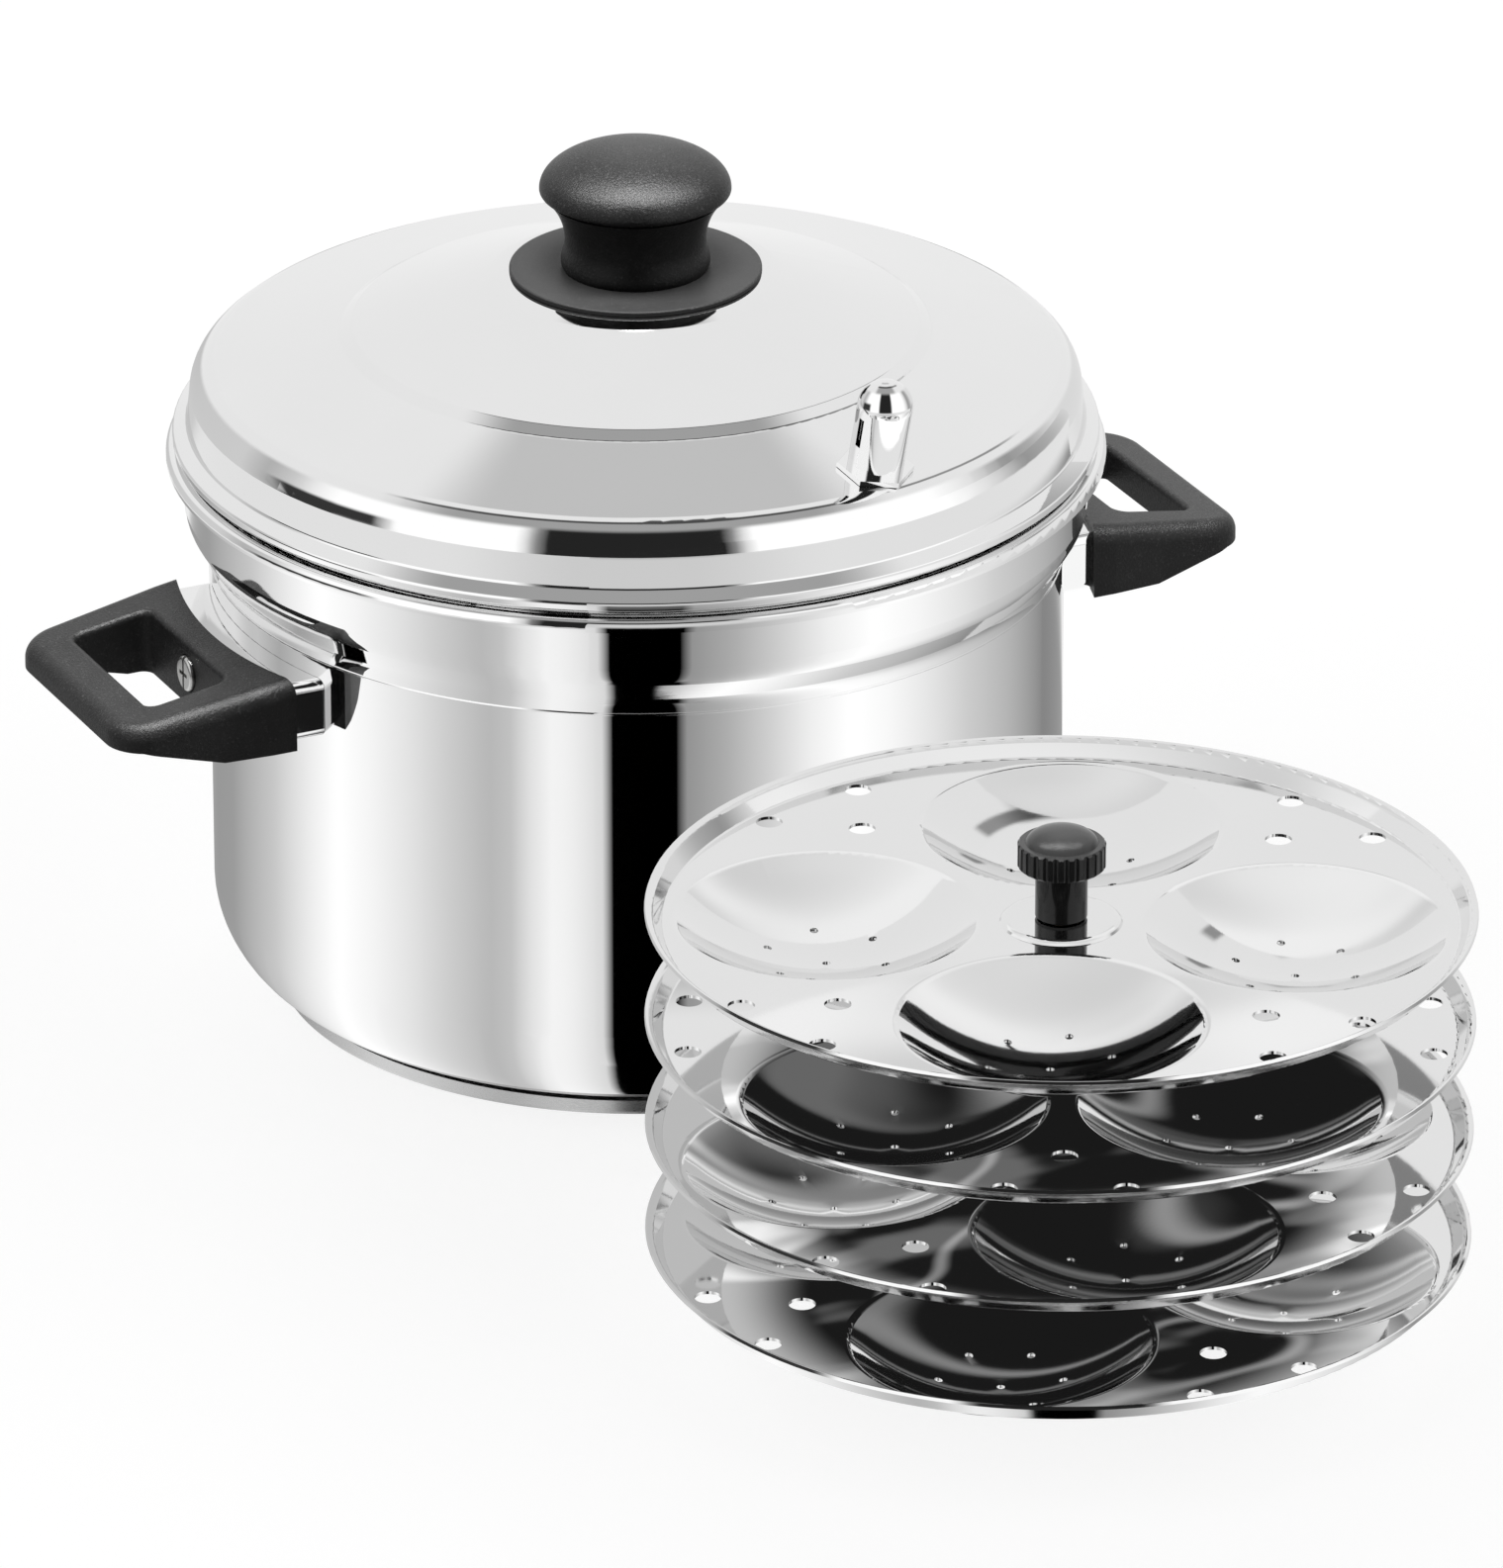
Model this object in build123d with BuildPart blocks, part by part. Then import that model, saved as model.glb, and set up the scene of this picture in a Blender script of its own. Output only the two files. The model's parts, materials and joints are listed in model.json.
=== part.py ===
from build123d import *
import os
from math import atan2, cos, degrees, radians, sin, sqrt

os.makedirs("parts", exist_ok=True)

# Shared allowances, in millimetres like every length here
overrun = 4.0  # how far a cutting shape reaches past the piece it cuts
rest_gap = 0.3  # between pieces that rest on each other but move apart
joint_gap = 0.05  # between pieces that are screwed, glued or welded together

# Pot shell: a spun steel pan with a wider collar at its mouth
pot_radius = 109.0
pot_sheet = 0.8
pot_corner_radius = 26.0
pot_height = 147.0
scribe_drop = 29.5  # from the mouth down to the scribed line
scribe_size = 0.45
collar_step = 6.0
collar_start_drop = 27.0
collar_drop = 17.5
collar_bend = 9.0
rim_width = 4.5
rim_drop = 3.0
rim_bend = 1.4

collar_radius = pot_radius + collar_step
rim_radius = collar_radius + rim_width
scribe_height = pot_height - scribe_drop
collar_start_height = pot_height - collar_start_drop
collar_height = pot_height - collar_drop
collar_inner_radius = collar_radius - pot_sheet

# Sandwich base under the pot
base_inset = 16.0
base_thickness = 3.0
base_skin = 0.5
base_wall_gap = 0.8
base_bend = 1.0
core_clearance = 0.2

base_radius = pot_radius - base_inset
# How far the pot's rounded corner has risen where the base's wall meets it
corner_reach = base_radius - base_skin - (pot_radius - pot_corner_radius)
corner_rise = pot_corner_radius - sqrt(pot_corner_radius**2 - corner_reach**2)
base_wall = base_thickness + corner_rise - base_wall_gap

# Lid shell: a shallow dome with one pressed step, a rolled edge and a locating skirt
# Its rises are measured up from the pot's mouth
lid_sheet = 0.7
lid_top_rise = 45.4
lid_flat_radius = 34.0
step_inner_radius = 72.0
step_width = 3.0
step_top_rise = 31.6
step_drop = 2.0
shoulder_inset = 2.4
shoulder_rise = 21.0
shoulder_bend = 9.0
drop_draft = 1.5  # how far the lid's steep side leans out on its way down
flange_inset = 1.7
flange_root_rise = 6.5
flange_edge_rise = 4.0
flange_under_rise = 2.2
hem_inset = 1.8
skirt_clearance = 0.5
skirt_depth = 6.0
lid_bend = 0.9
dome_bend = 20.0
step_bend = 2.0

lid_top_height = pot_height + lid_top_rise
step_outer_radius = step_inner_radius + step_width
step_top_height = pot_height + step_top_rise
step_foot_height = step_top_height - step_drop
shoulder_radius = collar_radius - shoulder_inset
shoulder_height = pot_height + shoulder_rise
lid_root_radius = shoulder_radius + drop_draft
lid_flange_radius = rim_radius - flange_inset
lid_flange_root_height = pot_height + flange_root_rise
lid_flange_edge_height = pot_height + flange_edge_rise
lid_flange_under_height = pot_height + flange_under_rise
lid_hem_radius = lid_flange_radius - hem_inset
hem_height = pot_height + rest_gap
skirt_radius = collar_inner_radius - skirt_clearance

# Knob on the lid
knob_disc_radius = 32.0
knob_disc_thickness = 1.3
knob_disc_bend = 0.5
knob_neck_radius = 18.5
knob_neck_height = 7.0
knob_neck_swell = 1.2
knob_waist_inset = 0.6
knob_flare_width = 3.8
knob_flare_rise = 11.6
knob_swell_width = 2.0
knob_swell_rise = 2.4
knob_dome_rise = 11.1
knob_round_share = 0.56  # fullness of the cap's dome, near that of a quarter ellipse
knob_split_groove = 0.5
knob_spigot_inset = 4.5
knob_spigot_depth = 5.0
knob_screw_radius = 2.5
knob_screw_head_radius = 4.6
knob_screw_head_height = 2.6
knob_washer_radius = 8.0
knob_washer_thickness = 1.2
knob_insert_wall = 2.0
knob_insert_length = 10.0
knob_screw_reach = 9.0

knob_waist_radius = knob_neck_radius - knob_waist_inset
knob_split_radius = knob_neck_radius + knob_flare_width
knob_split_height = knob_neck_height + knob_flare_rise
knob_wide_radius = knob_split_radius + knob_swell_width
knob_wide_height = knob_split_height + knob_swell_rise
knob_height = knob_wide_height + knob_dome_rise
knob_spigot_radius = knob_neck_radius - knob_spigot_inset
knob_insert_radius = knob_screw_radius + knob_insert_wall

# Steam vent through the lid's outer slope
vent_inset = 13.6  # from the lid's shoulder in to the vent
vent_bearing = -78.4
vent_radius = 7.0
vent_wall = 0.8
vent_straight = 17.0
vent_flange_lip = 1.5
vent_flange_thickness = 1.4
vent_tail_inset = 2.25
vent_tail_wall = 1.2
vent_tail_length = 6.0
vent_slot_width = 1.8
vent_slot_height = 8.0
vent_slot_rise = 7.0
vent_slot_count = 2
vent_nut_wall = 1.75
vent_nut_thickness = 2.6
vent_seal_wall = 2.45
vent_seal_thickness = 1.0

vent_place_radius = shoulder_radius - vent_inset
vent_flange_across = (vent_radius + vent_flange_lip) * 2
vent_tail_radius = vent_radius - vent_tail_inset
vent_bore_radius = vent_tail_radius - vent_tail_wall
vent_nut_across = (vent_tail_radius + vent_nut_wall) * 2
vent_seal_radius = vent_tail_radius + vent_seal_wall

# Side handles and their steel brackets
bracket_depth = 9.0
bracket_half_width = 35.5
bracket_sheet = 1.2
bracket_drop = 34.4  # from the pot's mouth down to the bracket's top
bracket_height = 15.6
bracket_edge_radius = 2.5
root_rail = 7.0
grip_length = 21.0
tip_rail = 12.0
side_rail = 13.5
handle_half_width = 38.0
handle_tip_narrowing = 3.0
handle_cover = 1.4
handle_fall = 6.5
handle_depth = 18.0
handle_tip_depth = 6.0
handle_belly_length = 13.0
handle_tip_flat = 6.0
handle_corner_radius = 11.0
handle_edge_radius = 4.4
grip_corner_radius = 3.0
grip_edge_radius = 1.6
handle_screw_radius = 2.5
handle_screw_head_radius = 4.6
handle_screw_head_height = 2.8
handle_screw_recess = 1.6
handle_nut_across = 8.0
handle_nut_thickness = 3.6
screw_slot_width = 1.0
screw_slot_depth = 1.1

bracket_reach = pot_radius + bracket_depth
bracket_top = pot_height - bracket_drop
bracket_bottom = bracket_top - bracket_height
grip_inner_reach = bracket_reach + root_rail
grip_outer_reach = grip_inner_reach + grip_length
handle_reach = grip_outer_reach + tip_rail
grip_half_width = handle_half_width - side_rail
handle_tip_half_width = handle_half_width - handle_tip_narrowing
handle_root_height = bracket_top + handle_cover
handle_tip_height = handle_root_height - handle_fall
handle_belly_reach = bracket_reach + handle_belly_length
handle_thin_reach = handle_reach - handle_tip_flat
handle_screw_height = (bracket_bottom + bracket_top) / 2

# Idli rack, standing in front of the pot
rack_gap = 20.0  # between the pot's rim and the plates
plate_radius = 100.5
plate_sheet = 0.8
lip_height = 4.5
lip_flare = 3.2
lip_bend = 1.6
lip_curl = 1.2
bottom_plate_height = 30.0
plate_pitch = 28.4
plate_turns = (60.7, 19.0, 79.8, 49.3)  # degrees, from the top plate down
plate_count = 4
mould_count = 4
mould_edge_gap = 5.5
mould_mouth_radius = 38.4
mould_mouth_bend = 2.2
mould_depth = 13.0
drain_radius = 1.0
drain_orbit = 15.0
drain_count = 6
drain_turn = 45.0  # degrees between the ring's first hole and the mould's own bearing
vent_hole_radius = 3.3
outer_vent_inset = 9.5
vent_row_gap = 19.0
outer_vent_spread = 9.2  # degrees each side of the gap between two moulds
boss_radius = 13.6
boss_height = 1.0
boss_bend = 0.9

rack_distance = rim_radius + rack_gap + plate_radius
mould_orbit = plate_radius - mould_edge_gap - mould_mouth_radius
outer_vent_orbit = plate_radius - outer_vent_inset
inner_vent_orbit = outer_vent_orbit - vent_row_gap

# Rod through the plates, its spacers, foot and top knob
rod_radius = 3.0
spacer_wall = 3.0
foot_radius = 30.0
foot_slope_width = 9.0
foot_height = 7.0
foot_sheet = 1.2
foot_bend = 2.5
foot_rim_width = 3.0
foot_nut_wall = 2.0
foot_nut_thickness = 4.0
rod_bottom = 1.2
rack_knob_stem_wall = 1.75
rack_knob_stem_length = 13.2
rack_knob_overhang = 4.35
rack_knob_rim_height = 6.4
rack_knob_shoulder = 1.8
rack_knob_dome_height = 3.3
rack_knob_edge = 0.5
flute_count = 26
flute_radius = 0.85
knurl_insert_wall = 1.6
knurl_insert_length = 11.0
rod_thread_reach = 10.0

rod_hole_radius = rod_radius + rest_gap
spacer_radius = rod_radius + spacer_wall
foot_top_radius = foot_radius - foot_slope_width
foot_nut_across = (rod_radius + foot_nut_wall) * 2
knurl_insert_radius = rod_radius + knurl_insert_wall
rack_knob_stem_radius = knurl_insert_radius + rack_knob_stem_wall
rack_knob_radius = rack_knob_stem_radius + rack_knob_overhang
rack_knob_dome_radius = rack_knob_radius - rack_knob_shoulder


def keep(piece, name):
    """Name a finished piece and write it to its own file."""
    piece.part.label = name
    export_step(piece.part, f"parts/{name}.step")


def radial_plane(turn):
    """Upright plane through the pot's axis: x outwards at this turn, y up."""
    bearing = radians(turn)
    return Plane(
        origin=(0, 0, 0),
        x_dir=(cos(bearing), sin(bearing), 0),
        z_dir=(sin(bearing), -cos(bearing), 0),
    )


def flat_plane(turn, height):
    """Level plane at this height, x outwards at this turn."""
    return Plane.XY.rotated((0, 0, turn)).offset(height)


# Pot
def make_pot_shell():
    with BuildPart() as shell:
        with BuildSketch(Plane.XZ):
            with BuildLine():
                FilletPolyline(
                    (0, base_thickness),
                    (pot_radius, base_thickness),
                    (pot_radius, collar_start_height),
                    (collar_radius, collar_height),
                    (collar_radius, pot_height - pot_sheet),
                    (rim_radius - pot_sheet, pot_height - pot_sheet),
                    (rim_radius - pot_sheet, pot_height - rim_drop),
                    radius=[pot_corner_radius, collar_bend, collar_bend, rim_bend, rim_bend],
                )
                offset(amount=pot_sheet, side=Side.LEFT)
            make_face()
        revolve(axis=Axis.Z)
        with BuildSketch(Plane.XZ):
            with Locations((pot_radius - scribe_size / 2, scribe_height)):
                Circle(scribe_size)
        revolve(axis=Axis.Z)
    keep(shell, "pot_shell")


def make_base():
    with BuildPart() as core:
        with BuildSketch(Plane.XY.offset(base_skin)):
            Circle(base_radius - base_bend - core_clearance)
        extrude(amount=base_thickness - base_skin)
    keep(core, "base_core")

    with BuildPart() as cap:
        with BuildSketch(Plane.XZ):
            with BuildLine():
                FilletPolyline(
                    (0, 0),
                    (base_radius, 0),
                    (base_radius, base_wall),
                    radius=[base_bend],
                )
                offset(amount=base_skin, side=Side.LEFT)
            make_face()
        revolve(axis=Axis.Z)
    keep(cap, "base_cap")


# Lid
lid_slope = atan2(
    step_foot_height - shoulder_height,
    shoulder_radius - step_outer_radius,
)
vent_foot_height = step_foot_height - (vent_place_radius - step_outer_radius) * (
    step_foot_height - shoulder_height
) / (shoulder_radius - step_outer_radius)


def vent_plane(distance):
    """Plane square to the lid's outer slope at the vent, this far above the sheet's outer face."""
    bearing = radians(vent_bearing)
    out = Vector(cos(bearing), sin(bearing), 0)
    normal = out * sin(lid_slope) + Vector(0, 0, 1) * cos(lid_slope)
    foot = out * vent_place_radius + Vector(0, 0, 1) * vent_foot_height
    across = out * cos(lid_slope) - Vector(0, 0, 1) * sin(lid_slope)
    return Plane(origin=foot + normal * distance, x_dir=across, z_dir=normal)


def make_lid_shell():
    with BuildPart() as shell:
        with BuildSketch(Plane.XZ):
            with BuildLine():
                FilletPolyline(
                    (0, lid_top_height),
                    (lid_flat_radius, lid_top_height),
                    (step_inner_radius, step_top_height),
                    (step_outer_radius, step_foot_height),
                    (shoulder_radius, shoulder_height),
                    (lid_root_radius, lid_flange_root_height),
                    (lid_flange_radius, lid_flange_edge_height),
                    (lid_flange_radius, lid_flange_under_height),
                    (lid_hem_radius, hem_height),
                    (skirt_radius, hem_height),
                    (skirt_radius, hem_height - skirt_depth),
                    radius=[
                        dome_bend,
                        step_bend,
                        step_bend,
                        shoulder_bend,
                        lid_bend,
                        lid_bend,
                        lid_bend,
                        lid_bend,
                        lid_bend,
                    ],
                )
                offset(amount=lid_sheet, side=Side.RIGHT)
            make_face()
        revolve(axis=Axis.Z)
        with BuildSketch(Plane.XY.offset(lid_top_height - lid_sheet - overrun)):
            Circle(knob_screw_radius + joint_gap)
        extrude(amount=lid_sheet + overrun * 2, mode=Mode.SUBTRACT)
        with BuildSketch(vent_plane(-lid_sheet - overrun)):
            Circle(vent_tail_radius + joint_gap)
        extrude(amount=lid_sheet + overrun * 2, mode=Mode.SUBTRACT)
    keep(shell, "lid_shell")


# Knob, from the disc on the lid up to the cap
disc_bottom = lid_top_height + joint_gap
knob_bottom = disc_bottom + knob_disc_thickness + joint_gap
split_height = knob_bottom + knob_split_height
insert_bottom = knob_bottom + joint_gap


def make_knob():
    with BuildPart() as disc:
        with BuildSketch(Plane.XY.offset(disc_bottom)):
            Circle(knob_disc_radius)
            Circle(knob_screw_radius + joint_gap, mode=Mode.SUBTRACT)
        extrude(amount=knob_disc_thickness)
        rim = disc.faces().sort_by(Axis.Z)[-1].outer_wire().edges()
        fillet(rim, radius=knob_disc_bend)
    keep(disc, "knob_disc")

    with BuildPart() as base:
        with BuildSketch(Plane.XZ):
            with BuildLine():
                foot = Line((0, knob_bottom), (knob_neck_radius, knob_bottom))
                neck = Bezier(
                    foot @ 1,
                    (knob_neck_radius + knob_neck_swell, knob_bottom + knob_neck_height / 3),
                    (knob_waist_radius, knob_bottom + knob_neck_height * 2 / 3),
                    (knob_waist_radius, knob_bottom + knob_neck_height),
                )
                flare = TangentArc(neck @ 1, (knob_split_radius, split_height), tangent=neck % 1)
                Polyline(
                    flare @ 1,
                    (knob_split_radius - knob_split_groove, split_height),
                    (knob_spigot_radius, split_height),
                    (knob_spigot_radius, split_height - knob_spigot_depth),
                    (0, split_height - knob_spigot_depth),
                    foot @ 0,
                )
            make_face()
        revolve(axis=Axis.Z)
        with BuildSketch(Plane.XY.offset(knob_bottom - overrun)):
            Circle(knob_insert_radius + joint_gap)
        extrude(amount=overrun + knob_insert_length + joint_gap * 2, mode=Mode.SUBTRACT)
    keep(base, "knob_base")

    cap_bottom = split_height + joint_gap
    cap_top = knob_bottom + knob_height
    wide_height = knob_bottom + knob_wide_height
    with BuildPart() as cap:
        with BuildSketch(Plane.XZ):
            with BuildLine():
                under = Polyline(
                    (0, cap_bottom - knob_spigot_depth + joint_gap),
                    (knob_spigot_radius - joint_gap, cap_bottom - knob_spigot_depth + joint_gap),
                    (knob_spigot_radius - joint_gap, cap_bottom),
                    (knob_split_radius - knob_split_groove, cap_bottom),
                    (knob_split_radius, cap_bottom + knob_split_groove),
                )
                swell = Bezier(
                    under @ 1,
                    (knob_wide_radius, wide_height - knob_swell_rise / 2),
                    (knob_wide_radius, wide_height),
                )
                dome = Bezier(
                    swell @ 1,
                    (knob_wide_radius, wide_height + knob_dome_rise * knob_round_share),
                    (knob_wide_radius * knob_round_share, cap_top),
                    (0, cap_top),
                )
                Line(dome @ 1, under @ 0)
            make_face()
        revolve(axis=Axis.Z)
    keep(cap, "knob_cap")

    with BuildPart() as insert:
        with BuildSketch(Plane.XY.offset(insert_bottom)):
            Circle(knob_insert_radius)
            Circle(knob_screw_radius + joint_gap, mode=Mode.SUBTRACT)
        extrude(amount=knob_insert_length)
    keep(insert, "knob_insert")

    washer_top = lid_top_height - lid_sheet - joint_gap
    with BuildPart() as washer:
        with BuildSketch(Plane.XY.offset(washer_top - knob_washer_thickness)):
            Circle(knob_washer_radius)
            Circle(knob_screw_radius + joint_gap, mode=Mode.SUBTRACT)
        extrude(amount=knob_washer_thickness)
    keep(washer, "knob_washer")

    head_top = washer_top - knob_washer_thickness - joint_gap
    with BuildPart() as screw:
        with BuildSketch(Plane.XY.offset(head_top - knob_screw_head_height)):
            Circle(knob_screw_head_radius)
        extrude(amount=knob_screw_head_height)
        fillet(screw.edges().sort_by(Axis.Z)[0], radius=knob_screw_head_height / 2)
        with BuildSketch(Plane.XY.offset(head_top)):
            Circle(knob_screw_radius)
        extrude(amount=insert_bottom + knob_screw_reach - head_top)
        with BuildSketch(Plane.XY.offset(head_top - knob_screw_head_height)):
            Rectangle(knob_screw_head_radius * 2 + overrun, screw_slot_width)
        extrude(amount=screw_slot_depth, mode=Mode.SUBTRACT)
    keep(screw, "knob_screw")


# Steam vent
under_lid = -lid_sheet - joint_gap
# How far the round lid falls away from a flat face as wide as the seal
seal_sag = vent_seal_radius**2 * sin(lid_slope) / (2 * (vent_place_radius - vent_seal_radius))
seal_drop = joint_gap + seal_sag


def make_vent():
    tube_bottom = joint_gap + vent_flange_thickness
    with BuildPart() as body:
        with BuildSketch(vent_plane(joint_gap)):
            RegularPolygon(radius=vent_flange_across / 2, side_count=6, major_radius=False)
        extrude(amount=vent_flange_thickness)
        chamfer(body.edges().group_by(Axis.Z)[-1], length=vent_flange_thickness / 4)
        with BuildSketch(vent_plane(tube_bottom)):
            Circle(vent_radius)
        extrude(amount=vent_straight)
        with BuildSketch(vent_plane(under_lid - vent_tail_length)):
            Circle(vent_tail_radius)
        extrude(amount=vent_tail_length - under_lid + joint_gap)
        top = vent_plane(tube_bottom + vent_straight)
        with Locations(Location(top)):
            Sphere(vent_radius)
            Sphere(vent_radius - vent_wall, mode=Mode.SUBTRACT)
        with BuildSketch(vent_plane(tube_bottom)):
            Circle(vent_radius - vent_wall)
        extrude(amount=vent_straight, mode=Mode.SUBTRACT)
        with BuildSketch(vent_plane(under_lid - vent_tail_length - overrun)):
            Circle(vent_bore_radius)
        extrude(
            amount=vent_tail_length - under_lid + tube_bottom + overrun * 2,
            mode=Mode.SUBTRACT,
        )
        with BuildSketch(vent_plane(tube_bottom + vent_slot_rise)):
            with PolarLocations(vent_radius, vent_slot_count, start_angle=90):
                Rectangle(vent_radius, vent_slot_width)
        extrude(amount=vent_slot_height, mode=Mode.SUBTRACT)
    keep(body, "vent_body")

    with BuildPart() as seal:
        with BuildSketch(vent_plane(-lid_sheet - seal_drop - vent_seal_thickness)):
            Circle(vent_seal_radius)
            Circle(vent_tail_radius + joint_gap, mode=Mode.SUBTRACT)
        extrude(amount=vent_seal_thickness)
    keep(seal, "vent_seal")

    nut_top = -lid_sheet - seal_drop - vent_seal_thickness - joint_gap
    with BuildPart() as nut:
        with BuildSketch(vent_plane(nut_top - vent_nut_thickness)):
            RegularPolygon(radius=vent_nut_across / 2, side_count=6, major_radius=False)
            Circle(vent_tail_radius + joint_gap, mode=Mode.SUBTRACT)
        extrude(amount=vent_nut_thickness)
    keep(nut, "vent_nut")


# Handles
handle_root_reach = bracket_reach + joint_gap
weld_reach = pot_radius + joint_gap
front_plate_reach = bracket_reach - bracket_sheet
screw_seat_reach = grip_inner_reach - handle_screw_recess
# How far the bracket's round front falls away from the nut's flat face at its corners
nut_sag = handle_nut_across**2 / (6 * front_plate_reach)
screw_start_reach = front_plate_reach - handle_nut_thickness - nut_sag - joint_gap
handle_fall_share = (handle_root_height - handle_tip_height) / (handle_reach - bracket_reach)


def top_height(reach):
    """Height of the handle's sloping top face at this distance from the pot's axis."""
    return handle_root_height - handle_fall_share * (reach - bracket_reach)


def screw_plane(turn, reach):
    """Upright plane square to a handle screw, this far out from the pot's axis."""
    bearing = radians(turn)
    out = Vector(cos(bearing), sin(bearing), 0)
    return Plane(
        origin=out * reach + Vector(0, 0, handle_screw_height),
        x_dir=(0, 0, 1),
        z_dir=out,
    )


def make_bracket(side, turn):
    with BuildPart() as bracket:
        with BuildSketch(flat_plane(turn, bracket_bottom)):
            Circle(bracket_reach)
            with Locations((bracket_reach, 0)):
                Rectangle(bracket_reach, bracket_half_width * 2, mode=Mode.INTERSECT)
            Circle(weld_reach, mode=Mode.SUBTRACT)
        extrude(amount=bracket_top - bracket_bottom)
        rims = bracket.faces().filter_by(Axis.Z).edges().filter_by(GeomType.LINE)
        fillet(rims, radius=bracket_edge_radius)
        with BuildSketch(flat_plane(turn, bracket_bottom + bracket_sheet)):
            Circle(front_plate_reach)
            with Locations((bracket_reach, 0)):
                Rectangle(
                    bracket_reach,
                    (bracket_half_width - bracket_sheet) * 2,
                    mode=Mode.INTERSECT,
                )
        extrude(amount=bracket_top - bracket_bottom - bracket_sheet * 2, mode=Mode.SUBTRACT)
        with BuildSketch(screw_plane(turn, front_plate_reach - overrun)):
            Circle(handle_screw_radius + joint_gap)
        extrude(amount=bracket_sheet + overrun * 2, mode=Mode.SUBTRACT)
    keep(bracket, f"bracket_{side}")


def make_handle(side, turn):
    under_height = handle_root_height - handle_depth
    tip_under_height = handle_tip_height - handle_tip_depth
    with BuildPart() as handle:
        with BuildSketch(radial_plane(turn)):
            with BuildLine():
                Polyline(
                    (weld_reach - overrun, top_height(weld_reach - overrun)),
                    (handle_reach, handle_tip_height),
                    (handle_reach, tip_under_height),
                    (handle_thin_reach, tip_under_height),
                    (handle_belly_reach, under_height),
                    (weld_reach - overrun, under_height),
                    close=True,
                )
            make_face()
        extrude(amount=handle_half_width + overrun, both=True)
        with BuildSketch(flat_plane(turn, under_height - overrun)):
            with BuildLine():
                Polyline(
                    (0, -handle_half_width),
                    (bracket_reach, -handle_half_width),
                    (handle_reach, -handle_tip_half_width),
                    (handle_reach, handle_tip_half_width),
                    (bracket_reach, handle_half_width),
                    (0, handle_half_width),
                    close=True,
                )
            make_face()
            far = vertices().group_by(SortBy.DISTANCE)[-1]
            fillet(far, radius=handle_corner_radius)
            Circle(handle_root_reach, mode=Mode.SUBTRACT)
        extrude(amount=handle_depth * 2 + overrun, mode=Mode.INTERSECT)
        with BuildSketch(flat_plane(turn, under_height - overrun)):
            with Locations(((grip_inner_reach + grip_outer_reach) / 2, 0)):
                RectangleRounded(
                    grip_outer_reach - grip_inner_reach,
                    grip_half_width * 2,
                    grip_corner_radius,
                )
        extrude(amount=handle_depth * 2 + overrun, mode=Mode.SUBTRACT)
        top_face = handle.faces().filter_by(GeomType.PLANE).sort_by(Axis.Z)[-1]
        fillet(top_face.inner_wires()[0].edges(), radius=grip_edge_radius)
        top_face = handle.faces().filter_by(GeomType.PLANE).sort_by(Axis.Z)[-1]
        outline = top_face.outer_wire().edges().sort_by(SortBy.DISTANCE)
        fillet(outline[1:], radius=handle_edge_radius)
        with BuildSketch(screw_plane(turn, bracket_reach - overrun)):
            Circle(handle_screw_radius + joint_gap)
        extrude(amount=grip_inner_reach - bracket_reach + overrun * 2, mode=Mode.SUBTRACT)
        with BuildSketch(screw_plane(turn, screw_seat_reach)):
            Circle(handle_screw_head_radius + rest_gap)
        extrude(amount=handle_screw_recess + overrun, mode=Mode.SUBTRACT)
    keep(handle, f"handle_{side}")


def make_handle_fixing(side, turn):
    head_reach = screw_seat_reach + joint_gap
    with BuildPart() as screw:
        with BuildSketch(screw_plane(turn, screw_start_reach)):
            Circle(handle_screw_radius)
        extrude(amount=head_reach - screw_start_reach)
        with BuildSketch(screw_plane(turn, head_reach)):
            Circle(handle_screw_head_radius)
        extrude(amount=handle_screw_head_height)
        face = screw.faces().sort_by(Axis(origin=(0, 0, 0), direction=screw_plane(turn, 0).z_dir))[-1]
        fillet(face.edges(), radius=handle_screw_head_height / 3)
        slot_floor = head_reach + handle_screw_head_height - screw_slot_depth
        with BuildSketch(screw_plane(turn, slot_floor)):
            Rectangle(handle_screw_head_radius * 2 + overrun, screw_slot_width)
            Rectangle(screw_slot_width, handle_screw_head_radius)
        extrude(amount=screw_slot_depth + overrun, mode=Mode.SUBTRACT)
    keep(screw, f"handle_screw_{side}")

    with BuildPart() as nut:
        with BuildSketch(screw_plane(turn, screw_start_reach)):
            RegularPolygon(radius=handle_nut_across / 2, side_count=6, major_radius=False)
            Circle(handle_screw_radius + joint_gap, mode=Mode.SUBTRACT)
        extrude(amount=handle_nut_thickness)
    keep(nut, f"handle_nut_{side}")


# Rack: heights of each plate, worked out from its rim
plate_rims = [bottom_plate_height + plate_pitch * (plate_count - 1 - k) for k in range(plate_count)]
plate_faces = [rim - lip_height for rim in plate_rims]
boss_rise = boss_height - plate_sheet
spacer_start = [face + boss_height + rest_gap for face in plate_faces]
spacer_end = [face + boss_rise - rest_gap for face in plate_faces]


def rack_plane(height):
    """Level plane with its middle on the rack's rod."""
    return Plane(origin=(0, -rack_distance, height), x_dir=(1, 0, 0), z_dir=(0, 0, 1))


def rack_section():
    """Upright plane with its middle on the rod: x outwards, y up."""
    return Plane(origin=(0, -rack_distance, 0), x_dir=(1, 0, 0), z_dir=(0, -1, 0))


rod_axis = Axis(origin=(0, -rack_distance, 0), direction=(0, 0, 1))


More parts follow.
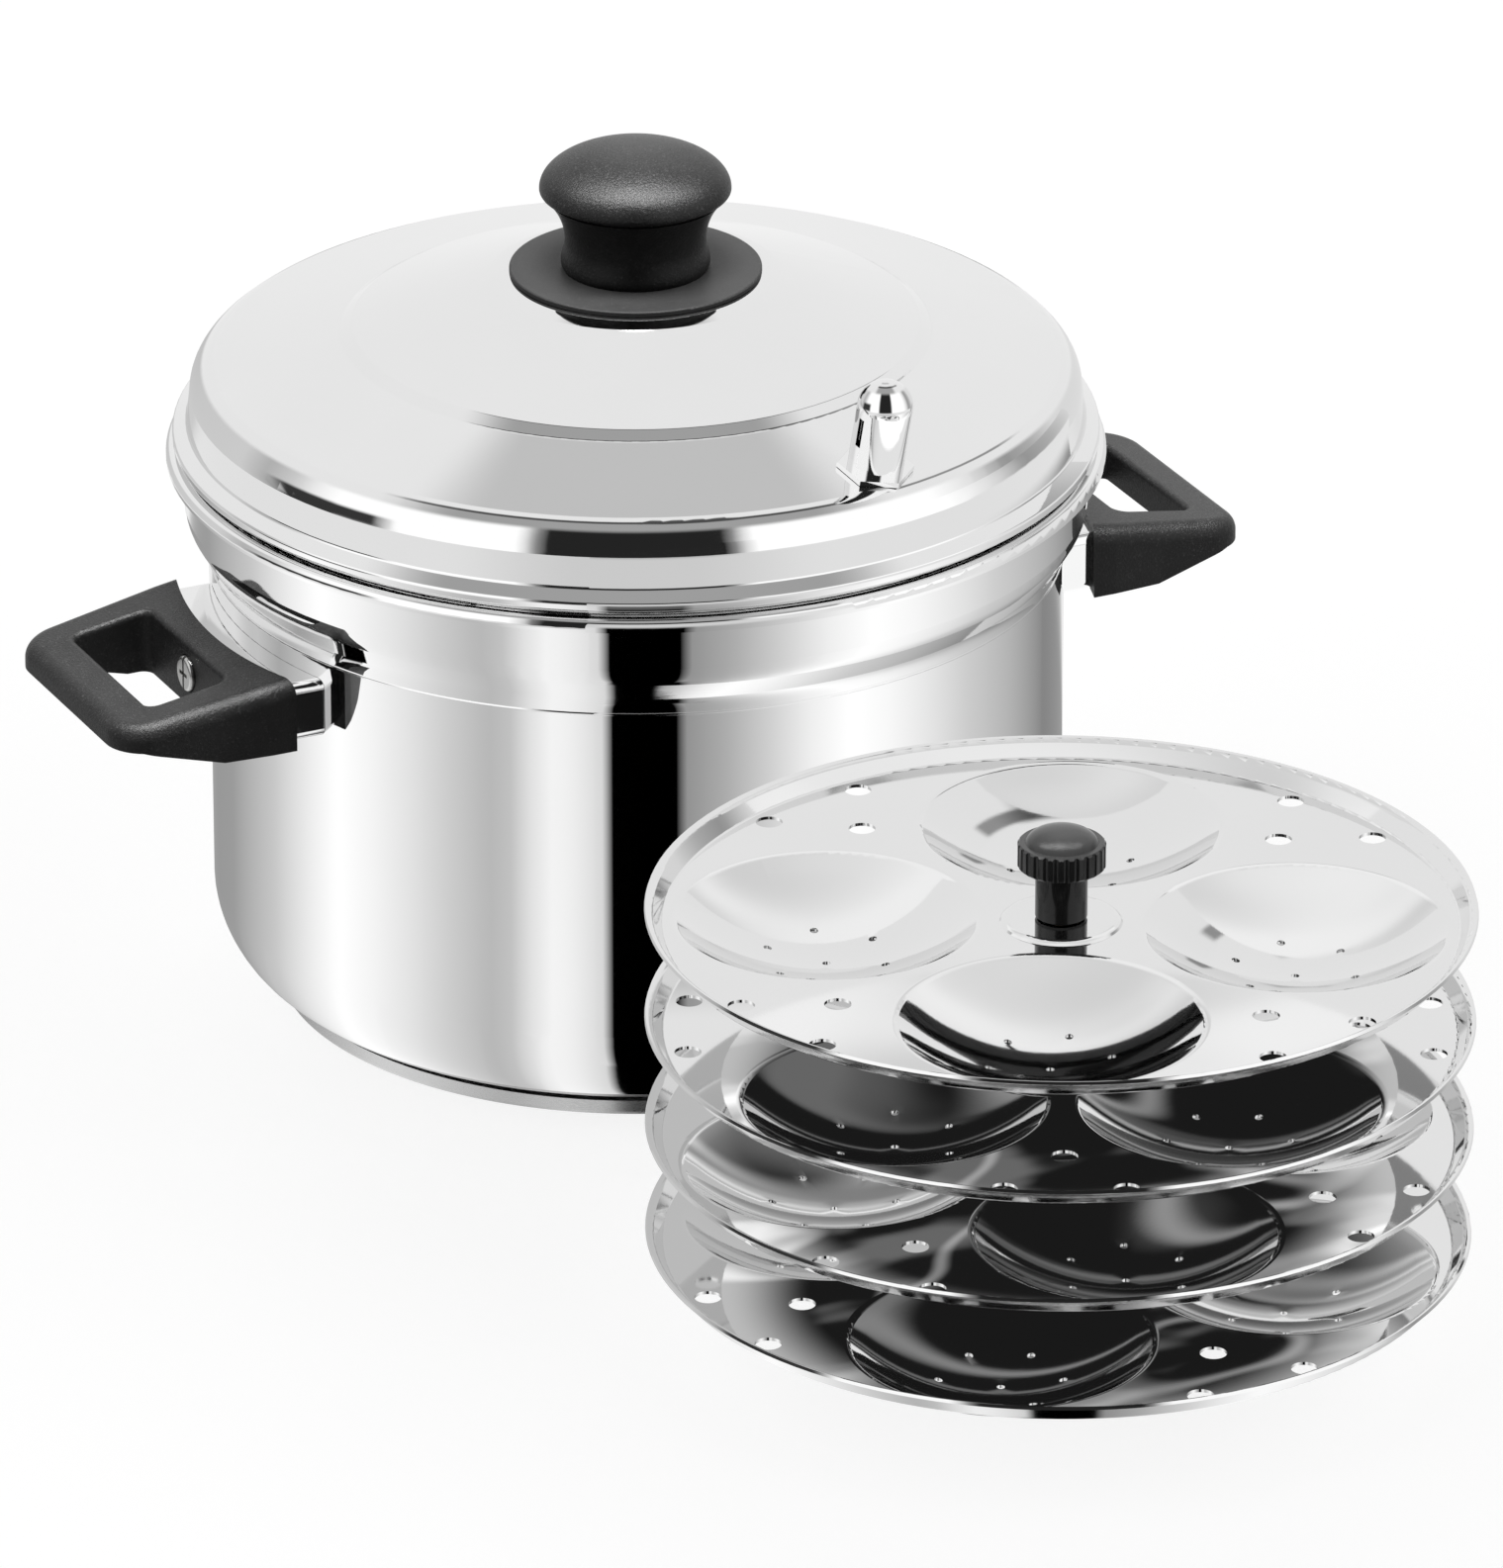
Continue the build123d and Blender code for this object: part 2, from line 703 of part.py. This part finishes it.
def make_mould(first, under, ring_turn):
    """One cup of a plate, its middle at this point and its outside at this height."""
    cup_radius = mould_mouth_radius - mould_mouth_bend / 2
    sphere_radius = (cup_radius**2 + mould_depth**2) / (2 * mould_depth)
    with BuildPart() as mould:
        with BuildSketch(Plane(origin=first, x_dir=(1, 0, 0), z_dir=(0, -1, 0))):
            with BuildLine():
                bowl = RadiusArc((0, under - mould_depth), (cup_radius, under), -sphere_radius)
                Line(bowl @ 1, (mould_mouth_radius, under))
                fillet(vertices().sort_by(Axis.X)[1], radius=mould_mouth_bend)
                offset(amount=plate_sheet, side=Side.LEFT)
            make_face()
        revolve(axis=Axis(origin=first, direction=(0, 0, 1)))
        with BuildSketch(Plane(origin=first + Vector(0, 0, under - mould_depth - overrun))):
            Circle(drain_radius)
            with PolarLocations(drain_orbit, drain_count, start_angle=ring_turn):
                Circle(drain_radius)
        extrude(amount=mould_depth + overrun, mode=Mode.SUBTRACT)
    return mould.part


def make_plate(number):
    face = plate_faces[number]
    turn = plate_turns[number]
    under = face - plate_sheet
    gap_turn = turn + 180 / mould_count
    web_radius = plate_radius - lip_flare - plate_sheet
    first = Vector(cos(radians(turn)), sin(radians(turn)), 0) * mould_orbit
    first += Vector(0, -rack_distance, 0)
    mould = make_mould(first, under, turn + drain_turn)
    with BuildPart() as plate:
        with BuildSketch(rack_section()):
            with BuildLine():
                FilletPolyline(
                    (rod_hole_radius, under + boss_height),
                    (boss_radius, under + boss_height),
                    (boss_radius + boss_height, under),
                    (web_radius, under),
                    (plate_radius - lip_curl, face + lip_height - lip_curl),
                    (plate_radius, face + lip_height - plate_sheet),
                    radius=[boss_bend, boss_bend, lip_bend, lip_bend],
                )
                offset(amount=plate_sheet, side=Side.LEFT)
            make_face()
        revolve(axis=rod_axis)
        with BuildSketch(rack_plane(under - overrun)):
            with PolarLocations(mould_orbit, mould_count, start_angle=turn):
                Circle(mould_mouth_radius)
        extrude(amount=plate_sheet + overrun * 2, mode=Mode.SUBTRACT)
        for step in range(mould_count):
            add(mould.rotate(rod_axis, step * 360 / mould_count))
        with BuildSketch(rack_plane(under - overrun)):
            with PolarLocations(inner_vent_orbit, mould_count, start_angle=gap_turn):
                Circle(vent_hole_radius)
            for spread in (-outer_vent_spread, outer_vent_spread):
                with PolarLocations(outer_vent_orbit, mould_count, start_angle=gap_turn + spread):
                    Circle(vent_hole_radius)
        extrude(amount=plate_sheet + overrun * 2, mode=Mode.SUBTRACT)
    keep(plate, f"rack_plate_{number + 1}")


# Rod and what is on it
rack_knob_bottom = plate_faces[0] + boss_height + rest_gap
knurl_insert_bottom = rack_knob_bottom + joint_gap


def make_spacer(name, bottom, top):
    with BuildPart() as spacer:
        with BuildSketch(rack_plane(bottom)):
            Circle(spacer_radius)
            Circle(rod_radius + joint_gap, mode=Mode.SUBTRACT)
        extrude(amount=top - bottom)
    keep(spacer, name)


def make_rod():
    with BuildPart() as rod:
        with BuildSketch(rack_plane(rod_bottom)):
            Circle(rod_radius)
        extrude(amount=knurl_insert_bottom + rod_thread_reach - rod_bottom)
        chamfer(rod.edges().group_by(Axis.Z)[-1], length=rod_radius / 4)
    keep(rod, "rack_rod")

    with BuildPart() as foot:
        with BuildSketch(rack_section()):
            with BuildLine():
                FilletPolyline(
                    (rod_radius + joint_gap, foot_height),
                    (foot_top_radius, foot_height),
                    (foot_radius - foot_rim_width, foot_sheet),
                    (foot_radius, foot_sheet),
                    radius=[foot_bend, foot_bend],
                )
                offset(amount=foot_sheet, side=Side.RIGHT)
            make_face()
        revolve(axis=rod_axis)
    keep(foot, "rack_foot")

    nut_top = foot_height - foot_sheet - joint_gap
    with BuildPart() as nut:
        with BuildSketch(rack_plane(nut_top - foot_nut_thickness)):
            RegularPolygon(radius=foot_nut_across / 2, side_count=6, major_radius=False)
            Circle(rod_radius + joint_gap, mode=Mode.SUBTRACT)
        extrude(amount=foot_nut_thickness)
    keep(nut, "rack_foot_nut")


def make_rack_knob():
    rim_bottom = rack_knob_bottom + rack_knob_stem_length
    rim_top = rim_bottom + rack_knob_rim_height
    with BuildPart() as knob:
        with BuildSketch(rack_section()):
            with BuildLine():
                base = Polyline(
                    (0, rack_knob_bottom),
                    (rack_knob_stem_radius - rack_knob_edge, rack_knob_bottom),
                    (rack_knob_stem_radius, rack_knob_bottom + rack_knob_edge),
                    (rack_knob_stem_radius, rim_bottom),
                    (rack_knob_radius - rack_knob_edge, rim_bottom),
                    (rack_knob_radius, rim_bottom + rack_knob_edge),
                    (rack_knob_radius, rim_top - rack_knob_edge),
                    (rack_knob_radius - rack_knob_edge, rim_top),
                    (rack_knob_dome_radius, rim_top),
                )
                dome = Spline(
                    base @ 1,
                    (0, rim_top + rack_knob_dome_height),
                    tangents=[(-1, 2), (-1, 0)],
                )
                Line(dome @ 1, base @ 0)
            make_face()
        revolve(axis=rod_axis)
        with BuildSketch(rack_plane(rim_bottom - overrun)):
            with PolarLocations(rack_knob_radius + flute_radius / 2, flute_count):
                Circle(flute_radius)
        extrude(amount=rack_knob_rim_height + overrun * 2, mode=Mode.SUBTRACT)
        with BuildSketch(rack_plane(rack_knob_bottom - overrun)):
            Circle(knurl_insert_radius + joint_gap)
        extrude(amount=overrun + knurl_insert_length + joint_gap * 2, mode=Mode.SUBTRACT)
    keep(knob, "rack_knob")

    with BuildPart() as insert:
        with BuildSketch(rack_plane(knurl_insert_bottom)):
            Circle(knurl_insert_radius)
            Circle(rod_radius + joint_gap, mode=Mode.SUBTRACT)
        extrude(amount=knurl_insert_length)
    keep(insert, "rack_knob_insert")


make_pot_shell()
make_base()
make_lid_shell()
make_knob()
make_vent()
for side, turn in (("left", 180), ("right", 0)):
    make_bracket(side, turn)
    make_handle(side, turn)
    make_handle_fixing(side, turn)
for number in range(plate_count):
    make_plate(number)
spacer_bottoms = spacer_start[1:] + [foot_height + joint_gap]
for number in range(plate_count):
    make_spacer(f"rack_spacer_{number + 1}", spacer_bottoms[number], spacer_end[number])
make_rod()
make_rack_knob()
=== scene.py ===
import json
import math

import bmesh
import bpy
from mathutils import Matrix, Vector


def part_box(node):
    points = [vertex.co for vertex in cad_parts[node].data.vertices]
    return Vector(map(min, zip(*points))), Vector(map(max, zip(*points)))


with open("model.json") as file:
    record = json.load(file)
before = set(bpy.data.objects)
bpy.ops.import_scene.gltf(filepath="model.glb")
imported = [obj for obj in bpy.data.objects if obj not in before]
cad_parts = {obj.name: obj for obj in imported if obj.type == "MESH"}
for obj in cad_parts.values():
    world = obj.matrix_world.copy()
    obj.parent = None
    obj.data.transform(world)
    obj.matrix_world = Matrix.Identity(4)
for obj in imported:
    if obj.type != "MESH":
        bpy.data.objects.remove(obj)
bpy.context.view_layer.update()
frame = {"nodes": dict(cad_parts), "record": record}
nodes = frame["nodes"]

# The camera's bearing from the pot's own axes, and where it looks
camera_turn = math.radians(25.65)
camera_elevation = math.radians(24.1)
camera_distance = 3.56
camera_target = Vector((0.0264, -0.0127, 0.0500))
camera_lens = 318.0
camera_look = Vector(
    (
        math.sin(camera_turn) * math.cos(camera_elevation),
        math.cos(camera_turn) * math.cos(camera_elevation),
        -math.sin(camera_elevation),
    )
)
rack_axis = Vector((0, -0.24, 0))


# Shader maths
class Wire:
    """A node's output. Sums, products and comparisons of wires add Math nodes."""

    def __init__(self, tree, socket):
        self.tree = tree
        self.socket = socket

    def maths(self, operation, *others):
        values = dict(enumerate((self, *others)))
        return self.tree.node("ShaderNodeMath", {"operation": operation}, values)

    def __add__(self, other):
        return self.maths("ADD", other)

    def __sub__(self, other):
        return self.maths("SUBTRACT", other)

    def __rsub__(self, other):
        return (self * -1.0) + other

    def __mul__(self, other):
        return self.maths("MULTIPLY", other)

    def __truediv__(self, other):
        return self.maths("DIVIDE", other)

    __radd__ = __add__
    __rmul__ = __mul__

    def clamped(self):
        return self.maths("MINIMUM", 1.0).maths("MAXIMUM", 0.0)


class Tree:
    """The node tree of a material or of the world."""

    def __init__(self, owner):
        owner.use_nodes = True
        self.nodes = owner.node_tree.nodes
        self.links = owner.node_tree.links
        self.nodes.clear()

    def node(self, kind, settings=None, sockets=None, out=0):
        made = self.nodes.new(kind)
        for name, value in (settings or {}).items():
            if name == "stops":
                ramp = made.color_ramp
                while len(ramp.elements) < len(value):
                    ramp.elements.new(0.5)
                for element, (place, level) in zip(ramp.elements, value):
                    element.position = place
                    element.color = (level, level, level, 1)
            else:
                setattr(made, name, value)
        for name, value in (sockets or {}).items():
            if isinstance(value, Wire):
                self.links.new(value.socket, made.inputs[name])
            else:
                made.inputs[name].default_value = value
        return Wire(self, made.outputs[out]) if len(made.outputs) else None

    def xyz(self, vector):
        parts = self.node("ShaderNodeSeparateXYZ", sockets={0: vector})
        return [Wire(self, socket) for socket in parts.socket.node.outputs]

    def step(self, value, start, end):
        """Nought before start, one after end, with a soft change between them."""
        return self.node(
            "ShaderNodeMapRange",
            {"interpolation_type": "SMOOTHSTEP"},
            {"Value": value, "From Min": start, "From Max": end},
        )

    def band(self, value, low, high, soft):
        rise = self.step(value, low - soft, low + soft)
        fall = self.step(value, high - soft, high + soft)
        return rise * (1.0 - fall)

    def blend(self, share, first, second):
        return first * (1.0 - share) + second * share

    def grey(self, level):
        return self.node("ShaderNodeCombineColor", sockets={0: level, 1: level, 2: level})

    def noise(self, scale, detail=2.0, rough=0.5, stretch=(1, 1, 1), place=None):
        if place is None:
            place = self.node("ShaderNodeTexCoord", out=3)
        place = self.node("ShaderNodeMapping", sockets={"Vector": place, "Scale": stretch})
        return self.node(
            "ShaderNodeTexNoise",
            sockets={"Vector": place, "Scale": scale, "Detail": detail, "Roughness": rough},
        )

    def bump(self, height, distance, strength=1.0):
        return self.node(
            "ShaderNodeBump",
            sockets={"Height": height, "Distance": distance, "Strength": strength},
        )


def finish(name, **sockets):
    """A new material, its tree, and its main shader with these constant sockets."""
    material = bpy.data.materials.new(name)
    tree = Tree(material)
    values = {key.replace("_", " "): value for key, value in sockets.items()}
    shader = tree.node("ShaderNodeBsdfPrincipled", sockets=values)
    tree.node("ShaderNodeOutputMaterial", sockets={"Surface": shader})
    return material, tree, shader.socket.node


def join(tree, wire, shader, name):
    tree.links.new(wire.socket, shader.inputs[name])


polish_depth = 0.000002


def polished_steel(name, level, rough, wave, axis=(0, 0, 0)):
    """Polished sheet steel: faint polishing rings round an axis, smears and slow waves."""
    material, tree, shader = finish(name, Metallic=1.0)
    place = tree.node("ShaderNodeTexCoord", out=3)
    x, y, z = tree.xyz(place)
    x = x - axis[0]
    y = y - axis[1]
    reach = (x * x + y * y).maths("SQRT")
    rings = tree.node("ShaderNodeCombineXYZ", sockets={0: reach, 1: z, 2: 0.0})
    lines = tree.noise(2200.0, 2.0, 0.6, place=rings)
    smear = tree.noise(14.0, 3.0, 0.6)
    slow = tree.noise(9.0, 1.0, 0.4)
    join(tree, tree.grey(smear * 0.04 + (level - 0.02)), shader, "Base Color")
    join(tree, (smear * 0.5 + lines * 0.3 + 0.6) * rough, shader, "Roughness")
    join(tree, tree.bump(slow * wave + lines * polish_depth, 1.0), shader, "Normal")
    return material


def moulded(name, level, rough, grain, coat, shine, glint):
    """A moulded piece of one grey level, with a fine cast grain and a paler speckle that is
    partly its own tone and partly painted glints of its sparkle.
    """
    material, tree, shader = finish(
        name, Coat_Roughness=0.08, Coat_Weight=coat, Specular_IOR_Level=shine
    )
    fine = tree.noise(1500.0, 3.0, 0.7)
    broad = tree.noise(60.0, 3.0, 0.6)
    # Paler speckle in the base colour: partly the moulding's own tone, partly painted sparkle
    # highlights of the grain
    tone_and_glint_speckle = tree.step(fine, 0.56, 0.70)
    join(tree, tree.grey(tone_and_glint_speckle * glint + broad * 0.006 + level), shader, "Base Color")
    join(tree, fine * 0.30 + broad * 0.10 + (rough - 0.20), shader, "Roughness")
    join(tree, tree.bump(fine * grain, 1.0), shader, "Normal")
    return material


def plain_metal(name, colour, rough):
    """Turned or plated hardware, with a fine drawn grain."""
    material, tree, shader = finish(name, Metallic=1.0)
    grain = tree.noise(900.0, 2.0, 0.6, stretch=(1, 1, 6))
    patch = tree.noise(80.0, 2.0, 0.5)
    tint = tree.node(
        "ShaderNodeMix",
        {"data_type": "RGBA"},
        {0: patch * 0.3, 6: (*colour, 1), 7: (*[c * 0.7 for c in colour], 1)},
        out=2,
    )
    join(tree, tint, shader, "Base Color")
    join(tree, grain * 0.15 + (rough - 0.07), shader, "Roughness")
    join(tree, tree.bump(grain, 0.00001), shader, "Normal")
    return material


finishes = {
    "steel_mirror": polished_steel("steel_mirror", 0.86, 0.035, 0.000006),
    "steel_lid": polished_steel("steel_lid", 0.84, 0.045, 0.000006),
    "steel_plate": polished_steel("steel_plate", 0.80, 0.05, 0.00001, rack_axis),
    "steel_satin": plain_metal("steel_satin", (0.62, 0.62, 0.62), 0.28),
    "plated_steel": plain_metal("plated_steel", (0.58, 0.58, 0.57), 0.32),
    "aluminium_core": plain_metal("aluminium_core", (0.75, 0.75, 0.76), 0.4),
    "phenolic": moulded("phenolic", 0.0015, 0.34, 0.00018, 0.0, 0.11, 0.010),
    "phenolic_gloss": moulded("phenolic_gloss", 0.004, 0.20, 0.000004, 0.25, 0.15, 0.0),
    "disc_black": moulded("disc_black", 0.007, 0.46, 0.00001, 0.0, 0.05, 0.006),
    "silicone": moulded("silicone", 0.40, 0.55, 0.00001, 0.0, 0.5, 0.05),
    "brass_insert": plain_metal("brass_insert", (0.72, 0.52, 0.24), 0.3),
}
slots = {row["node"]: row["material_slot"] for row in frame["record"]["subparts"]}
for name, item in nodes.items():
    item.data.materials.clear()
    item.data.materials.append(finishes[slots[name]])


# Studio
def facing(x, y):
    """The same point, seen along the camera's bearing: x to its right, y away from it."""
    return (
        x * math.cos(camera_turn) - y * math.sin(camera_turn),
        x * math.sin(camera_turn) + y * math.cos(camera_turn),
    )


def bearing_of(tree, x, y):
    """Degrees round from the side that faces the camera, positive to the camera's right."""
    across, away = facing(x, y)
    return across.maths("ARCTAN2", away * -1.0) * math.degrees(1)


# Brightness in the studio, by the turn and tilt of a mirror that shows it to the camera
# An upright wall shows the first row, and the pressed edges of the lid the second
wall_lights = (
    (-180, 0.40),
    (-100, 0.42),
    (-80, 0.34),
    (-71, 0.37),
    (-58, 0.65),
    (-49, 1.00),
    (-44, 1.18),
    (-38, 1.06),
    (-32, 0.90),
    (-26, 0.71),
    (-20, 0.55),
    (-17, 0.61),
    (-14, 0.88),
    (-11, 1.06),
    (-8, 0.98),
    (-4.1, 0.78),
    (-3.6, 0.0),
    (5.9, 0.0),
    (6.4, 0.32),
    (12, 0.47),
    (18, 0.72),
    (24, 1.00),
    (30, 1.18),
    (36, 1.08),
    (43, 0.90),
    (50, 0.70),
    (60, 0.52),
    (72, 0.26),
    (84, 0.34),
    (180, 0.40),
)
edge_lights = (
    (-180, 0.30),
    (-120, 0.50),
    (-80, 0.66),
    (-62, 0.70),
    (-56, 0.50),
    (-50, 0.70),
    (-46, 1.00),
    (-42, 1.20),
    (-15, 1.20),
    (-12, 0.02),
    (12, 0.02),
    (15, 1.20),
    (42, 1.20),
    (50, 0.85),
    (57, 0.34),
    (64, 0.48),
    (72, 0.80),
    (100, 0.80),
    (140, 0.40),
    (180, 0.30),
)


def paint(tree, lights, bearing):
    stops = [((place + 180) / 360, level) for place, level in lights]
    return tree.node("ShaderNodeValToRGB", {"stops": stops}, {0: bearing / 360.0 + 0.5})


def drop_light(tree, bearing):
    """What the lid's steep side shows: pale all round, a little less so in front."""
    return tree.step(bearing.maths("ABSOLUTE"), 6.0, 26.0) * 0.18 + 0.70


def make_world():
    world = bpy.data.worlds.new("studio")
    bpy.context.scene.world = world
    tree = Tree(world)
    x, y, z = tree.xyz(tree.node("ShaderNodeTexCoord", out=0))
    # The face of a mirror that would show this part of the studio to the camera
    across, away = facing(x - camera_look.x, y - camera_look.y)
    upward = z - camera_look.z
    bearing = across.maths("ARCTAN2", away * -1.0) * math.degrees(1)
    level_reach = (across * across + away * away).maths("SQRT")
    tilt = upward.maths("ARCTAN2", level_reach) * math.degrees(1)
    aside = bearing.maths("ABSOLUTE")
    front = 1.0 - tree.step(aside, 24.0, 38.0)

    low = paint(tree, edge_lights, bearing)
    crescent = tree.band(bearing, -54.0, -34.0, 2.5) * tree.band(tilt, 9.0, 24.0, 3.0)
    low = tree.blend(crescent, low, 0.04)
    low = tree.blend(tree.band(tilt, 3.0, 8.5, 0.7), low, drop_light(tree, bearing))
    middle = tree.blend(front, 0.92, 0.40)
    level = tree.blend(tree.step(tilt, 44.0, 52.0), low, middle)
    line = tree.band(tilt, 62.5, 66.5, 0.7) * tree.band(bearing, -34.0, 62.0, 4.0)
    level = tree.blend(line, level, tree.step(aside, 20.0, 50.0) * 0.25 + 0.08)
    level = tree.blend(tree.step(tilt, 66.5, 68.0), level, 0.93)
    level = tree.blend(tree.band(tilt, 74.0, 80.0, 1.2) * front, level, 0.61)
    behind = tree.step(aside, 115.0, 135.0) * (1.0 - tree.step(tilt, 64.0, 67.5))
    level = tree.blend(behind, level, 0.05)
    wall = paint(tree, wall_lights, bearing)
    level = tree.blend(tree.step(tilt, 1.5, 4.0), wall, level)

    seen = tree.node("ShaderNodeLightPath", out=0)
    level = tree.blend(seen, level, 1.0)
    light = tree.node("ShaderNodeBackground", sockets={"Color": tree.grey(level)})
    tree.node("ShaderNodeOutputWorld", sockets={"Surface": light})


def stage_piece(name, form, material, camera, glossy):
    """A floor or a reflection card: it lights the object but isn't part of it."""
    mesh = bpy.data.meshes.new(name)
    form.to_mesh(mesh)
    form.free()
    item = bpy.data.objects.new(name, mesh)
    bpy.context.scene.collection.objects.link(item)
    item.data.materials.append(material)
    item.visible_camera = camera
    item.visible_glossy = glossy
    item.visible_diffuse = camera
    item.visible_shadow = False
    return item


def make_floor():
    material, tree, shader = finish("floor", Roughness=0.9, Emission_Strength=1.0)
    dust = tree.noise(3.0, 3.0, 0.5)
    join(tree, tree.grey(dust * 0.01 + 0.30), shader, "Base Color")
    join(tree, tree.grey(dust * 0.01 + 0.77), shader, "Emission Color")
    form = bmesh.new()
    bmesh.ops.create_grid(form, x_segments=1, y_segments=1, size=40.0)
    bmesh.ops.translate(form, verts=form.verts, vec=(0, 0, -0.0002))
    stage_piece("floor", form, material, True, False)


card_steps = 160


def one_sided(name, paint_at, clear_at=None):
    """An emissive material, clear from behind, with its brightness worked out by paint_at."""
    material = bpy.data.materials.new(name)
    tree = Tree(material)
    place = tree.node("ShaderNodeTexCoord", out=3)
    level = paint_at(tree, place)
    light = tree.node("ShaderNodeEmission", sockets={"Color": tree.grey(level)})
    clear = tree.node("ShaderNodeBsdfTransparent")
    behind = tree.node("ShaderNodeNewGeometry", out=6)
    if clear_at:
        behind = behind.maths("MAXIMUM", clear_at(tree, place))
    surface = tree.node("ShaderNodeMixShader", sockets={0: behind, 1: light, 2: clear})
    tree.node("ShaderNodeOutputMaterial", sockets={"Surface": surface})
    return material


def make_card(name, reach, heights, bearings, inward, paint_at, clear_at=None):
    """A curved card round the pot that only polished metal sees, from one side."""
    low, high = heights
    first, last = (math.radians(bearing) for bearing in bearings)
    form = bmesh.new()
    point = form.verts.new((0, -reach, low))
    bmesh.ops.rotate(
        form,
        verts=[point],
        cent=(0, 0, 0),
        matrix=Matrix.Rotation(first - camera_turn, 3, "Z"),
    )
    bmesh.ops.spin(
        form,
        geom=[point],
        cent=(0, 0, 0),
        axis=(0, 0, 1),
        angle=last - first,
        steps=card_steps,
    )
    lifted = bmesh.ops.extrude_edge_only(form, edges=form.edges[:])
    top = [item for item in lifted["geom"] if isinstance(item, bmesh.types.BMVert)]
    bmesh.ops.translate(form, verts=top, vec=(0, 0, high - low))
    form.normal_update()
    outward = sum(face.normal.dot(face.calc_center_median()) for face in form.faces)
    if (outward > 0) == inward:
        bmesh.ops.reverse_faces(form, faces=form.faces[:])
    for face in form.faces:
        face.smooth = True
    stage_piece(name, form, one_sided(name, paint_at, clear_at), False, True)


# The pot's own turn is this share of its card's bearing, and a little less further round
card_turn_share = 0.872
card_turn_fall = 0.0000087


def pot_side(tree, place):
    """What the pot and its lid see of their card, by the turn of the wall that sees it."""
    x, y, z = tree.xyz(place)
    bearing = bearing_of(tree, x, y)
    bearing = bearing * (card_turn_share - bearing * bearing * card_turn_fall)
    low = paint(tree, wall_lights, bearing)
    level = tree.blend(tree.step(z, 0.144, 0.150), low, drop_light(tree, bearing))
    return tree.blend(tree.step(z, 0.1579, 0.1599), level, paint(tree, edge_lights, bearing))


def pot_side_clear(tree, place):
    """The card's middle is clear to rays that reach it on a slant, from the pot's bends."""
    x, y, z = tree.xyz(place)
    aside = bearing_of(tree, x, y).maths("ABSOLUTE")
    length = tree.node("ShaderNodeLightPath", out="Ray Length")
    return tree.step(length, 0.040, 0.050) * (1.0 - tree.step(aside, 9.0, 14.0))


def rack_side(tree, place):
    height = tree.xyz(place)[2]
    return tree.blend(tree.step(height, 0.108, 0.122), 0.60, 0.93)


def make_disc(name, reach, height, paint_at):
    """A level disc over a plate of the rack that only polished metal sees, from below."""
    form = bmesh.new()
    bmesh.ops.create_circle(form, cap_ends=True, segments=64, radius=reach)
    bmesh.ops.translate(form, verts=form.verts, vec=(*rack_axis.xy, height))
    form.normal_update()
    if form.faces[:][0].normal.z > 0:
        bmesh.ops.reverse_faces(form, faces=form.faces[:])
    stage_piece(name, form, one_sided(name, paint_at), False, True)


def rack_shade(tree, place):
    x, y, z = tree.xyz(place)
    x = x - rack_axis.x
    y = y - rack_axis.y
    reach = (x * x + y * y).maths("SQRT")
    cloud = tree.noise(24.0, 2.0, 0.5, stretch=(1.0, 2.0, 1.0))
    swirl = tree.noise(16.0, 1.0, 0.3, stretch=(1.0, 1.6, 1.0))
    streak = tree.step(cloud, 0.50, 0.66) * 0.30 + tree.band(swirl, 0.47, 0.51, 0.02) * 0.5
    return streak * 0.5 + tree.step(reach, 0.060, 0.082) * (streak * 0.4 + 0.60) + 0.012


def rack_softbox(tree, place):
    cloud = tree.noise(11.0, 1.0, 0.4, stretch=(1.0, 1.6, 1.0))
    return tree.step(cloud, 0.35, 0.70) * -0.30 + 1.06


make_world()
make_floor()
# The pot and the rack don't mirror each other in the photograph, so each sees its own card
pot_view = (-6.0, 88.0)
rack_view = (-60.0, 88.0)
shade_gap = 0.0006
make_card("pot_card", 0.128, (-0.40, 0.172), pot_view, True, pot_side, pot_side_clear)
make_card("rack_card", 0.129, (-0.02, 0.26), rack_view, False, rack_side)
for number in (1, 2, 3):
    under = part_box(f"rack_plate_{number}")[0][2]
    make_disc(f"rack_shade_{number}", 0.082, under - shade_gap, rack_shade)
make_disc("rack_softbox", 0.106, 0.172, rack_softbox)


# Lamps that light only the black mouldings, so their sheen doesn't show in the steel
black_pieces = bpy.data.collections.new("black_pieces")
for name, slot in slots.items():
    if slot in ("phenolic", "phenolic_gloss", "disc_black"):
        black_pieces.objects.link(nodes[name])


lamp_distance = 1.6
lid_middle = Vector((0, 0, 0.15))


def make_lamp(name, bearing, rise, size, power):
    """An area lamp that faces the pot's lid, from this bearing round from the camera's side."""
    lamp = bpy.data.lights.new(name, "AREA")
    lamp.shape = "DISK"
    lamp.size = size
    lamp.energy = power
    item = bpy.data.objects.new(name, lamp)
    bpy.context.scene.collection.objects.link(item)
    turn = math.radians(bearing) - camera_turn
    tilt = math.radians(rise)
    level = math.cos(tilt)
    out = Vector((math.sin(turn) * level, -math.cos(turn) * level, math.sin(tilt)))
    item.location = lid_middle + out * lamp_distance
    item.rotation_mode = "QUATERNION"
    item.rotation_quaternion = out.to_track_quat("Z", "Y")
    item.light_linking.receiver_collection = black_pieces


make_lamp("lamp_above", 0.0, 82.0, 0.7, 130.0)
make_lamp("lamp_behind", 178.0, 34.0, 0.8, 3.0)
make_lamp("lamp_right", 82.0, 62.0, 0.5, 60.0)
make_lamp("lamp_left", -82.0, 62.0, 0.5, 50.0)


def make_camera():
    data = bpy.data.cameras.new("camera")
    data.lens = camera_lens
    data.clip_end = 100.0
    camera = bpy.data.objects.new("camera", data)
    bpy.context.scene.collection.objects.link(camera)
    camera.location = camera_target - camera_look * camera_distance
    camera.rotation_mode = "QUATERNION"
    camera.rotation_quaternion = camera_look.to_track_quat("-Z", "Y")
    bpy.context.scene.camera = camera


make_camera()
view = bpy.context.scene.view_settings
view.view_transform = "Standard"
view.look = "None"
